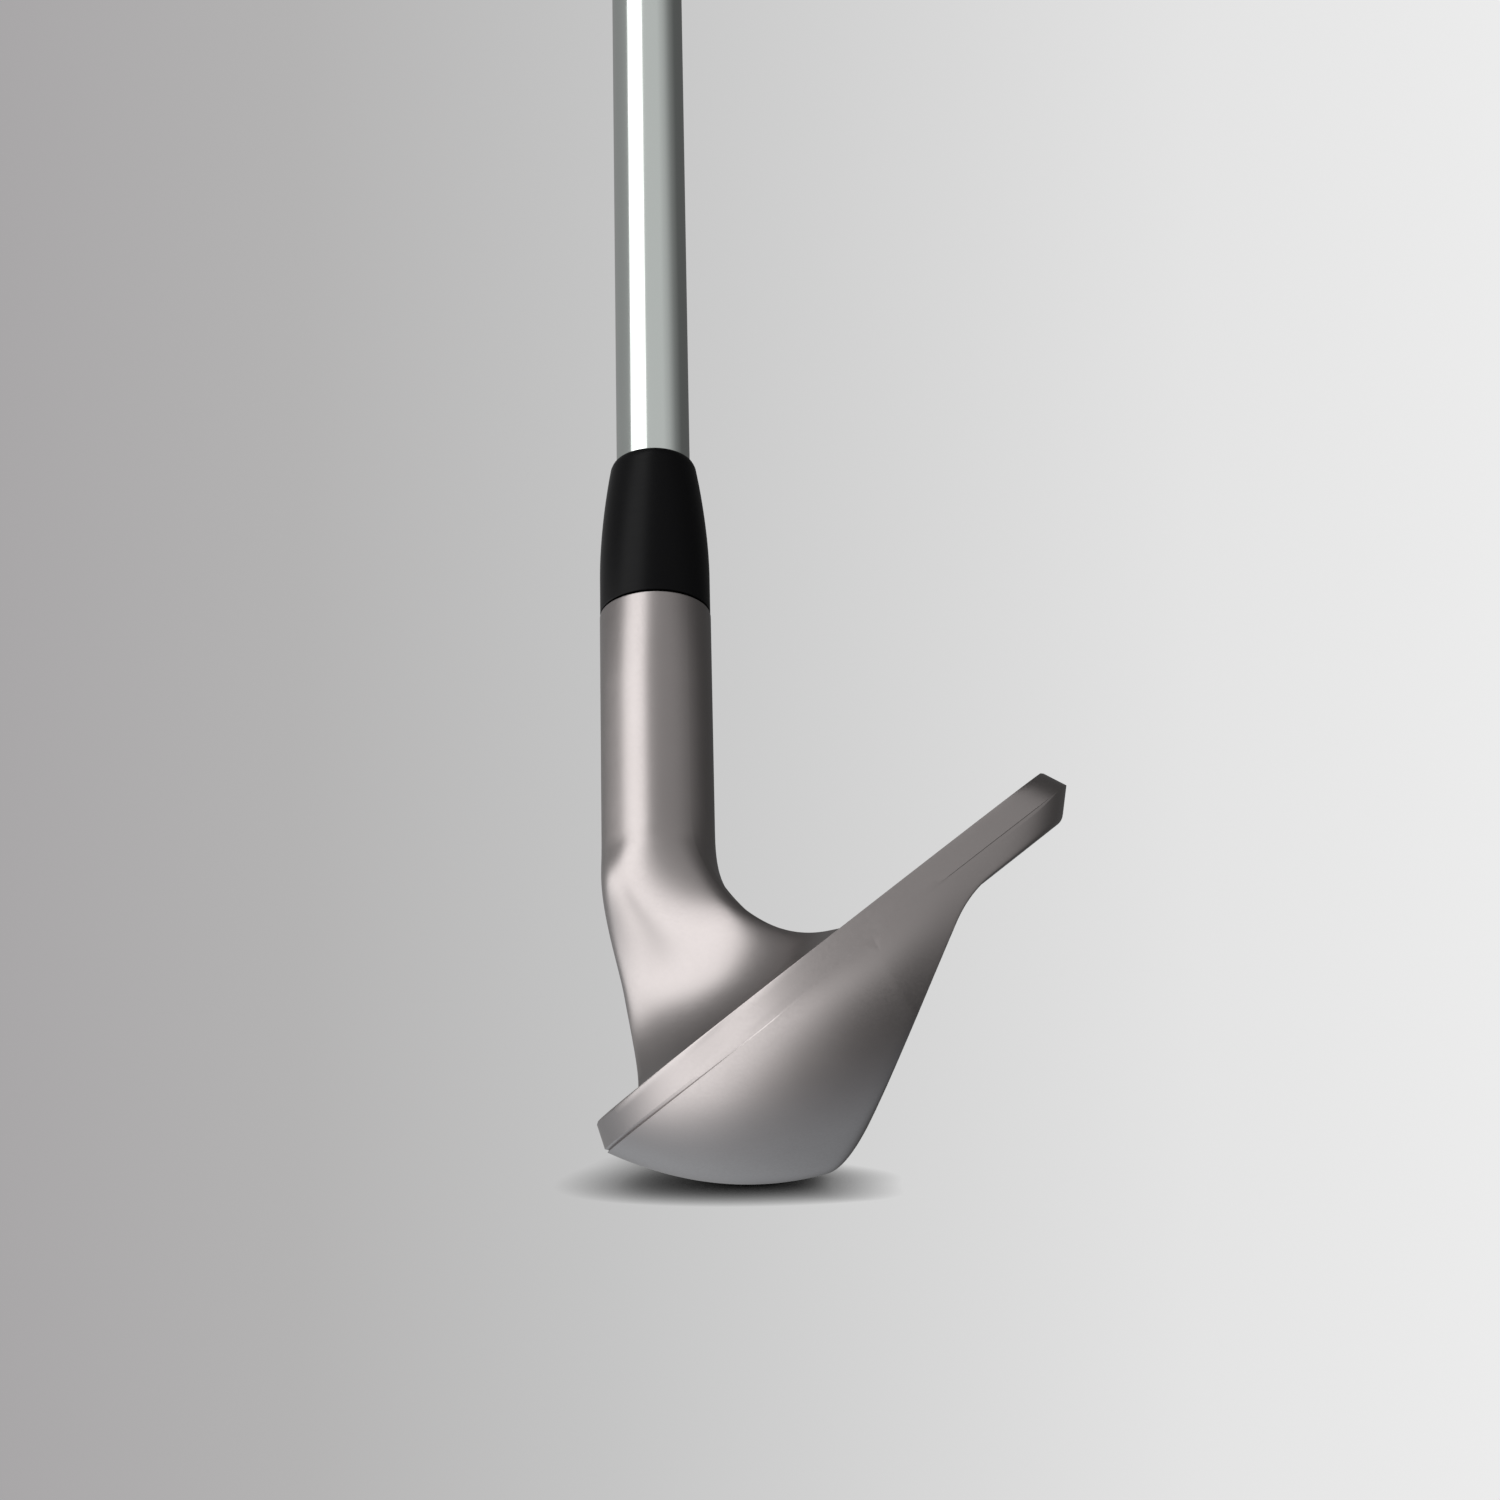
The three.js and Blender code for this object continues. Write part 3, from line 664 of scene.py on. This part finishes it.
class CLUB_OT_shaft(bpy.types.Operator):
    """Build the stepped chrome shaft"""

    bl_idname = "club.shaft"
    bl_label = "Shaft"

    def execute(self, context):
        chrome = chromed_steel(context.scene.club_colours)
        turned_piece("stepped_shaft", shaft_profile(), 128, chrome, "shaft")
        return {"FINISHED"}


def turned_acetate(colours):
    """Black cellulose acetate, turned and wiped to a soft gloss: a dim sheen with faint lathe lines."""
    material, tree = new_material("cellulose_acetate_turned")
    place = add(tree, "ShaderNodeTexCoord").outputs["Object"]
    thin = stretched(tree, place, 40, 0.25)
    lathe = add(tree, "ShaderNodeTexNoise", {"Vector": thin.outputs[0], "Scale": 1.0, "Detail": 2.0})
    rough = add(tree, "ShaderNodeMapRange", {"Value": lathe.outputs["Fac"], "From Min": 0.3, "From Max": 0.7,
                                             "To Min": 0.3, "To Max": 0.38})
    lines = add(tree, "ShaderNodeBump", {"Height": lathe.outputs["Fac"], "Strength": 0.05,
                                         "Distance": 0.02 * MM})
    finish_material(tree, add(tree, "ShaderNodeBsdfPrincipled", {
        "Base Color": colours.ferrule, "Roughness": rough.outputs["Result"], "IOR": 1.48,
        "Specular IOR Level": 0.06, "Normal": lines.outputs["Normal"]}))
    return material


def ferrule_profile():
    inner, foot, top = SHAFT_TIP_R + GAP, HOSEL_R - 0.05, 5.3
    start = HOSEL_TOP_AT + GAP
    straight_top = start + 5
    shoulder = FERRULE_TOP_AT - 0.8
    controls = np.array([(foot, straight_top), (foot, straight_top + 5.5),
                         (top + 0.62, FERRULE_TOP_AT - 4.2), (top, shoulder)])
    t = np.linspace(0, 1, 25)[:, None]
    shares = np.hstack([(1 - t) ** 3, 3 * t * (1 - t) ** 2, 3 * t * t * (1 - t), t ** 3])
    swell = shares @ controls
    foot_corner = rounded([(inner, start, 0), (foot, start, 0.12), (foot, straight_top, 0)], 4)
    crown = rounded([(top, shoulder, 0), (top - 0.25, FERRULE_TOP_AT - 0.2, 0.25),
                     (inner, FERRULE_TOP_AT, 0)], 4)
    return np.vstack([foot_corner[:-1], swell, crown[1:]])


class CLUB_OT_ferrule(bpy.types.Operator):
    """Build the plastic collar between hosel and shaft"""

    bl_idname = "club.ferrule"
    bl_label = "Ferrule"

    def execute(self, context):
        acetate = turned_acetate(context.scene.club_colours)
        turned_piece("turned_ferrule", ferrule_profile(), 160, acetate, "ferrule")
        return {"FINISHED"}


GRIP_RADII = ((0, 8.35), (1.2, 8.7), (70, 9.6), (160, 10.8), (230, 12.2), (261.5, 13.2))
GRIP_BORE_R = SHAFT_BUTT_R + 0.4
HATCH_FROM, HATCH_TO = 10, 254
HATCH_FADE = 3
HATCH_STEP = 12  # points round the grip from groove to groove
LANE_HALF = 16  # degrees left plain on each side of the lane's middle
RING_GROOVES = (4.0, 6.4, 257.5)
RING_GROOVE_CUT, RING_GROOVE_HALF = 0.35, 0.55
GRIP_AROUND, GRIP_RINGS = 144, 470


def grip_shape(hatch):
    """The grip's outside, with two families of spiral grooves and a few ring grooves, and its inner wall."""
    length = GRIP_END_AT - GRIP_MOUTH_AT
    along = np.linspace(0, length, GRIP_RINGS)
    radius = np.interp(along, *zip(*GRIP_RADII))
    i, j = np.meshgrid(np.arange(GRIP_AROUND), np.arange(GRIP_RINGS))
    spiral = np.minimum((i + j) % HATCH_STEP, -(i + j) % HATCH_STEP)
    counter = np.minimum((i - j) % HATCH_STEP, -(i - j) % HATCH_STEP)
    groove = np.clip(1.5 - np.minimum(spiral, counter), 0, 1)
    field = ease((along - HATCH_FROM) / HATCH_FADE) * ease((HATCH_TO - along) / HATCH_FADE)
    lane = np.abs((i / GRIP_AROUND * 360 + 180) % 360 - 180) < LANE_HALF
    cut = hatch * groove * field[:, None] * np.where(lane, 0, 1)
    for place in RING_GROOVES:
        cut = cut + RING_GROOVE_CUT * np.exp(-((along - place) / RING_GROOVE_HALF) ** 2)[:, None]
    r = radius[:, None] - cut
    angle = i / GRIP_AROUND * tau
    t = np.broadcast_to((along + GRIP_MOUTH_AT - HOLD_AT)[:, None], r.shape)
    rings = np.stack([r * np.cos(angle), r * np.sin(angle), t], -1)
    bore = np.stack([GRIP_BORE_R * np.cos(angle[0]), GRIP_BORE_R * np.sin(angle[0]), 0 * angle[0]], -1)
    ends = [bore + [0, 0, at - HOLD_AT] for at in (GRIP_MOUTH_AT, GRIP_END_AT)]
    rings = np.concatenate([[ends[0]], rings, [ends[1]]])
    points, faces = skin(rings, closed_ends=False)
    top = (len(rings) - 1) * GRIP_AROUND
    faces += [[top + k, top + (k + 1) % GRIP_AROUND, (k + 1) % GRIP_AROUND, k] for k in range(GRIP_AROUND)]
    return points, faces


def moulded_rubber(name, colour, grain, dull):
    """Natural rubber, moulded: matt and near black, with the mould's fine pebble and a faint grey bloom."""
    material, tree = new_material(name)
    place = add(tree, "ShaderNodeTexCoord").outputs["Object"]
    pebble = add(tree, "ShaderNodeTexNoise", {"Vector": place, "Scale": 1 / grain, "Detail": 3.0})
    bloom = add(tree, "ShaderNodeTexNoise", {"Vector": place, "Scale": 1 / (12 * MM), "Detail": 4.0})
    greyed = add(tree, "ShaderNodeMapRange", {"Value": bloom.outputs["Fac"], "From Min": 0.35,
                                              "From Max": 0.75})
    tint = add(tree, "ShaderNodeMix", {"Factor": greyed.outputs["Result"], 6: colour,
                                       7: hex_colour("#2b2a29")}, data_type="RGBA")
    rough = add(tree, "ShaderNodeMapRange", {
        "Value": pebble.outputs["Fac"], "From Min": 0.3, "From Max": 0.7,
        "To Min": dull - 0.08, "To Max": dull + 0.05})
    bumps = add(tree, "ShaderNodeBump", {"Height": pebble.outputs["Fac"], "Strength": 0.35,
                                         "Distance": 0.08 * MM})
    finish_material(tree, add(tree, "ShaderNodeBsdfPrincipled", {
        "Base Color": tint.outputs[2], "Roughness": rough.outputs["Result"], "IOR": 1.52,
        "Normal": bumps.outputs["Normal"]}))
    return material


def cap_profile():
    """The cap bulges past the grip, with a shallow ring pressed in its end round the vent."""
    start, end = GRIP_END_AT + GAP, CLUB_END_AT
    return rounded([
        (VENT_R, start, 0), (13.3, start, 0.2), (13.9, start + 0.8, 0.4), (13.8, start + 2.2, 0.6),
        (12.8, end - 0.5, 0.6), (11, end, 0.5), (9, end, 0.15), (8.7, end - 0.4, 0.1),
        (7.3, end - 0.4, 0.1), (7, end, 0.15), (VENT_R + 0.5, end, 0.1), (VENT_R, end - 0.5, 0.1)], 4)


class CLUB_OT_grip(bpy.types.Operator):
    """Build the hatched rubber grip and its end cap"""

    bl_idname = "club.grip"
    bl_label = "Grip and cap"

    def execute(self, context):
        sizes, colours = context.scene.club_sizes, context.scene.club_colours
        rubber = moulded_rubber("natural_rubber_moulded", colours.rubber, 0.5 * MM, 0.78)
        points, faces = grip_shape(sizes.hatch_depth / MM)
        mesh_object("hatched_grip", points, faces, shaft_matrix(), rubber, "grip")
        smooth = moulded_rubber("natural_rubber_moulded_cap", colours.rubber, 0.9 * MM, 0.6)
        turned_piece("vented_cap", cap_profile(), 120, smooth, "grip_cap")
        return {"FINISHED"}


def rolled_foil():
    """Aluminium foil, rolled and lacquered: a dull silver sleeve with fine rolling lines round it."""
    material, tree = new_material("aluminium_foil_rolled")
    place = add(tree, "ShaderNodeTexCoord").outputs["Object"]
    thin = stretched(tree, place, 6, 0.3)
    rolling = add(tree, "ShaderNodeTexNoise", {"Vector": thin.outputs[0], "Scale": 1.0, "Detail": 3.0})
    tint = add(tree, "ShaderNodeMix", {"Factor": rolling.outputs["Fac"], 6: hex_colour("#8d9091"),
                                       7: hex_colour("#b4b7b8")}, data_type="RGBA")
    lines = add(tree, "ShaderNodeBump", {"Height": rolling.outputs["Fac"], "Strength": 0.1,
                                         "Distance": 0.02 * MM})
    finish_material(tree, add(tree, "ShaderNodeBsdfPrincipled", {
        "Base Color": tint.outputs[2], "Metallic": 1.0, "Roughness": 0.42,
        "Normal": lines.outputs["Normal"]}))
    return material


class CLUB_OT_band(bpy.types.Operator):
    """Build the plain foil band between two steps of the shaft"""

    bl_idname = "club.band"
    bl_label = "Shaft band"

    def execute(self, context):
        step = 6
        start = FIRST_STEP_AT + (step - 1) * STEP_PITCH + STEP_RAMP + 2
        end = start + STEP_PITCH - STEP_RAMP - 4
        inner, outer = step_radius(step) + 0.05, step_radius(step) + 0.17
        profile = rounded([(inner, start, 0), (outer, start, 0.05), (outer, end, 0.05), (inner, end, 0)], 2)
        turned_piece("foil_band", profile, 128, rolled_foil(), "shaft_band")
        return {"FINISHED"}


def along_shaft(tree, scale):
    """Coordinates for a CAD node, turned so that Z runs along the shaft, and scaled."""
    place = add(tree, "ShaderNodeTexCoord").outputs["Object"]
    upright = shaft_matrix().inverted().to_euler()
    turn = add(tree, "ShaderNodeMapping", {"Vector": place, "Rotation": upright})
    return add(tree, "ShaderNodeMapping", {"Vector": turn.outputs[0], "Scale": scale}).outputs[0]


def cured_epoxy():
    """Two-part epoxy, mixed by hand and cured: amber, glossy and a little cloudy with fine bubbles."""
    material, tree = new_material("epoxy_cured")
    cloud = add(tree, "ShaderNodeTexNoise", {"Vector": along_shaft(tree, (1000, 1000, 1000)), "Scale": 0.5,
                                             "Detail": 4.0})
    tint = add(tree, "ShaderNodeMix", {"Factor": cloud.outputs["Fac"], 6: hex_colour("#b9a46a"),
                                       7: hex_colour("#ddd2ab")}, data_type="RGBA")
    pits = add(tree, "ShaderNodeBump", {"Height": cloud.outputs["Fac"], "Strength": 0.2,
                                        "Distance": 0.05 * MM})
    finish_material(tree, add(tree, "ShaderNodeBsdfPrincipled", {
        "Base Color": tint.outputs[2], "Roughness": 0.28, "IOR": 1.55, "Subsurface Weight": 0.2,
        "Normal": pits.outputs["Normal"]}))
    return material


def turned_brass():
    """Free-cutting brass, turned: warm yellow with fine lathe rings."""
    material, tree = new_material("brass_turned")
    rings = add(tree, "ShaderNodeTexNoise", {"Vector": along_shaft(tree, (60, 60, 4000)), "Scale": 1.0,
                                             "Detail": 2.0})
    tint = add(tree, "ShaderNodeMix", {"Factor": rings.outputs["Fac"], 6: hex_colour("#a07f3e"),
                                       7: hex_colour("#c9a763")}, data_type="RGBA")
    lines = add(tree, "ShaderNodeBump", {"Height": rings.outputs["Fac"], "Strength": 0.15,
                                         "Distance": 0.03 * MM})
    finish_material(tree, add(tree, "ShaderNodeBsdfPrincipled", {
        "Base Color": tint.outputs[2], "Metallic": 1.0, "Roughness": 0.32,
        "Normal": lines.outputs["Normal"]}))
    return material


def creped_paper():
    """Double-sided paper tape, creped: pale straw with fine cross wrinkles and no shine."""
    material, tree = new_material("paper_tape_creped")
    wrinkles = add(tree, "ShaderNodeTexNoise", {"Vector": along_shaft(tree, (300, 300, 2000)), "Scale": 1.0,
                                                "Detail": 4.0})
    tint = add(tree, "ShaderNodeMix", {"Factor": wrinkles.outputs["Fac"], 6: hex_colour("#c3b68f"),
                                       7: hex_colour("#e4dcc4")}, data_type="RGBA")
    crepe = add(tree, "ShaderNodeBump", {"Height": wrinkles.outputs["Fac"], "Strength": 0.4,
                                         "Distance": 0.1 * MM})
    finish_material(tree, add(tree, "ShaderNodeBsdfPrincipled", {
        "Base Color": tint.outputs[2], "Roughness": 0.88, "IOR": 1.5, "Normal": crepe.outputs["Normal"]}))
    return material


class CLUB_OT_inside(bpy.types.Operator):
    """Finish the pieces hidden inside the club: the epoxy, the tip weight and the grip tape"""

    bl_idname = "club.inside"
    bl_label = "Hidden pieces"

    def execute(self, context):
        finishes = {"hosel_epoxy": cured_epoxy(), "tip_weight": turned_brass(), "grip_tape": creped_paper()}
        for name, finish in finishes.items():
            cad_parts[name].material_slots[0].material = finish
        return {"FINISHED"}


# ---- studio ----


class CLUB_OT_studio(bpy.types.Operator):
    """Set up the floor, the light and the camera"""

    bl_idname = "club.studio"
    bl_label = "Studio"

    def execute(self, context):
        scene = context.scene
        scene.view_settings.view_transform = "Standard"
        make_floor()
        make_world(scene)
        make_camera(scene)
        return {"FINISHED"}


CAMERA_AT = (0.10996, -0.87600, -0.67008)  # metres
CAMERA_YAW = radians(5.4)
CAMERA_LENS = 109.68
CAMERA_REACH = 100  # metres
FLOOR_SIDE = 40.0  # metres
CONTACT_SHADOW = 7
ROOM_LIGHT = 3.6
GROUND_LIGHT = 3.2


def make_camera(scene):
    """A long lens near floor height, looking level along the blade from the toe."""
    lens = bpy.data.cameras.new("camera")
    lens.lens = CAMERA_LENS
    lens.sensor_width = 36
    lens.clip_end = CAMERA_REACH
    camera = bpy.data.objects.new("camera", lens)
    camera.location = CAMERA_AT
    camera.rotation_euler = (pi / 2, 0, CAMERA_YAW)
    scene.collection.objects.link(camera)
    scene.camera = camera


def make_floor():
    """A wide pale floor that takes the backdrop's tone, so that no horizon shows, with a contact shadow."""
    half = FLOOR_SIDE / 2
    z = cad_box[0][2]
    corners = [(-half, -half, z), (half, -half, z), (half, half, z), (-half, half, z)]
    mesh = bpy.data.meshes.new("floor")
    mesh.from_pydata(corners, [], [[0, 1, 2, 3]])
    material, tree = new_material("painted_floor")
    shadow = add(tree, "ShaderNodeAmbientOcclusion", {"Distance": CONTACT_SHADOW * MM}, samples=16)
    through = add(tree, "ShaderNodeBsdfTransparent", {"Color": shadow.outputs["Color"]})
    paint = add(tree, "ShaderNodeBsdfDiffuse", {"Color": hex_colour("#d8d8d8")})
    path = add(tree, "ShaderNodeLightPath")
    both = add(tree, "ShaderNodeMixShader", {0: path.outputs["Is Camera Ray"], 1: paint.outputs[0],
                                             2: through.outputs[0]})
    finish_material(tree, both)
    mesh.materials.append(material)
    floor = bpy.data.objects.new("floor", mesh)
    floor.visible_glossy = False
    bpy.context.scene.collection.objects.link(floor)


def make_world(scene):
    """Backdrop for the camera, and for everything else a dim room with one tall soft window of light."""
    world = bpy.data.worlds.new("studio")
    world.use_nodes = True
    tree = world.node_tree
    tree.nodes.clear()
    way = add(tree, "ShaderNodeTexCoord").outputs["Generated"]
    turn = add(tree, "ShaderNodeVectorRotate", {"Vector": way, "Angle": -CAMERA_YAW}, rotation_type="Z_AXIS")
    parts = add(tree, "ShaderNodeSeparateXYZ", {0: turn.outputs[0]})
    right, ahead, up = parts.outputs
    back_angle = add(tree, "ShaderNodeMath", {0: right, 1: ahead}, operation="ARCTAN2")
    scene_dark, scene_light = scene.club_colours.dark_side, scene.club_colours.light_side
    fade = add(tree, "ShaderNodeMapRange", {"Value": back_angle.outputs[0], "From Min": radians(-9.3),
                                            "From Max": radians(9.3)})
    backdrop = add(tree, "ShaderNodeValToRGB", {"Fac": fade.outputs[0]}, stops=[
        (0.0, tuple(scene_dark)), (0.2, hex_colour("#b4b3b3")), (0.4, hex_colour("#c4c4c4")),
        (0.6, hex_colour("#d5d5d5")), (0.8, hex_colour("#e4e4e4")), (1.0, tuple(scene_light))])
    less = add(tree, "ShaderNodeMath", {0: right, 1: -1.0}, operation="MULTIPLY")
    toward = add(tree, "ShaderNodeMath", {0: ahead, 1: -1.0}, operation="MULTIPLY")
    round_angle = add(tree, "ShaderNodeMath", {0: less.outputs[0], 1: toward.outputs[0]},
                      operation="ARCTAN2")
    turnaround = add(tree, "ShaderNodeMapRange", {"Value": round_angle.outputs[0], "From Min": -pi,
                                                  "From Max": pi})
    lower = add(tree, "ShaderNodeMapRange", {"Value": up, "From Min": 0.5, "From Max": -0.09,
                                             "To Max": 42 / 360}, interpolation_type="SMOOTHSTEP")
    leftward = add(tree, "ShaderNodeMapRange", {"Value": turnaround.outputs[0], "From Min": 40 / 360 + 0.5,
                                                "From Max": 70 / 360 + 0.5}, interpolation_type="SMOOTHSTEP")
    shift = add(tree, "ShaderNodeMath", {0: lower.outputs[0], 1: leftward.outputs[0]}, operation="MULTIPLY")
    shifted = add(tree, "ShaderNodeMath", {0: turnaround.outputs[0], 1: shift.outputs[0]},
                  operation="SUBTRACT")
    room = add(tree, "ShaderNodeValToRGB", {"Fac": shifted.outputs[0]}, stops=[
        (place / 360 + 0.5, shade) for place, shade in (
            (-180, 0.03), (-115, 0.04), (-95, 0.08), (-74, 0.16), (-50, 0.21), (27, 0.21),
            (38, 1.0), (82, 1.0), (90, 0.12), (140, 0.08), (180, 0.04))])
    strength = add(tree, "ShaderNodeVectorMath", {0: room.outputs["Color"], "Scale": ROOM_LIGHT},
                   operation="SCALE")
    across = add(tree, "ShaderNodeMapRange", {"Value": right, "From Min": -0.6, "From Max": 0.6})
    near_ground = add(tree, "ShaderNodeValToRGB", {"Fac": across.outputs[0]}, stops=[
        (place / 1.2 + 0.5, shade) for place, shade in (
            (-0.5, 1.0), (-0.35, 1.0), (-0.15, 0.82), (0, 0.54), (0.15, 0.24), (0.3, 0.1), (0.55, 0.035))])
    far_ground = add(tree, "ShaderNodeValToRGB", {"Fac": across.outputs[0]}, stops=[
        (place / 1.2 + 0.5, hex_colour(code)) for place, code in (
            (-0.5, "#75777a"), (-0.2, "#85888b"), (0, "#808386"), (0.2, "#75787b"), (0.5, "#4e5053"))])
    beyond = add(tree, "ShaderNodeMapRange", {"Value": ahead, "From Min": -0.2, "From Max": 0.7},
                 interpolation_type="SMOOTHSTEP")
    ground = add(tree, "ShaderNodeMix", {"Factor": beyond.outputs[0], 6: near_ground.outputs["Color"],
                                         7: far_ground.outputs["Color"]}, data_type="RGBA")
    glow = add(tree, "ShaderNodeVectorMath", {0: ground.outputs[2], "Scale": GROUND_LIGHT},
               operation="SCALE")
    slanted = add(tree, "ShaderNodeMath", {0: right, 1: 0.3, 2: up}, operation="MULTIPLY_ADD")
    fall = add(tree, "ShaderNodeMapRange", {"Value": slanted.outputs[0], "From Min": -0.22,
                                            "From Max": -0.6}, interpolation_type="SMOOTHSTEP")
    low = add(tree, "ShaderNodeMix", {"Factor": fall.outputs[0], 6: strength.outputs[0], 7: glow.outputs[0]},
              data_type="RGBA")
    seen = add(tree, "ShaderNodeLightPath").outputs["Is Camera Ray"]
    both = add(tree, "ShaderNodeMix", {0: seen, 6: low.outputs[2], 7: backdrop.outputs["Color"]},
               data_type="RGBA")
    light = add(tree, "ShaderNodeBackground", {"Color": both.outputs[2]})
    add(tree, "ShaderNodeOutputWorld", {"Surface": light.outputs[0]})
    scene.world = world


# ---- panel and running ----


class CLUB_PT_panel(bpy.types.Panel):
    """Lists the steps that build the club"""

    bl_label = "Sand iron"
    bl_space_type = "VIEW_3D"
    bl_region_type = "UI"
    bl_category = "Sand iron"

    def draw(self, context):
        for maker in OPERATORS:
            self.layout.operator(maker.bl_idname)
        for group in (context.scene.club_sizes, context.scene.club_colours):
            box = self.layout.box()
            for name in group.__annotations__:
                box.prop(group, name)


OPERATORS = (
    CLUB_OT_head, CLUB_OT_shaft, CLUB_OT_ferrule, CLUB_OT_band, CLUB_OT_grip, CLUB_OT_inside, CLUB_OT_studio)
CLASSES = (ClubSizes, ClubColours, *OPERATORS, CLUB_PT_panel)


def register():
    for each in CLASSES:
        bpy.utils.register_class(each)
    bpy.types.Scene.club_sizes = bpy.props.PointerProperty(type=ClubSizes)
    bpy.types.Scene.club_colours = bpy.props.PointerProperty(type=ClubColours)


def unregister():
    del bpy.types.Scene.club_colours
    del bpy.types.Scene.club_sizes
    for each in reversed(CLASSES):
        bpy.utils.unregister_class(each)


def main():
    """Builds every piece in order."""
    register()
    bpy.ops.club.head()
    bpy.ops.club.shaft()
    bpy.ops.club.ferrule()
    bpy.ops.club.band()
    bpy.ops.club.grip()
    bpy.ops.club.inside()
    bpy.ops.club.studio()


if __name__ == "__main__":
    main()
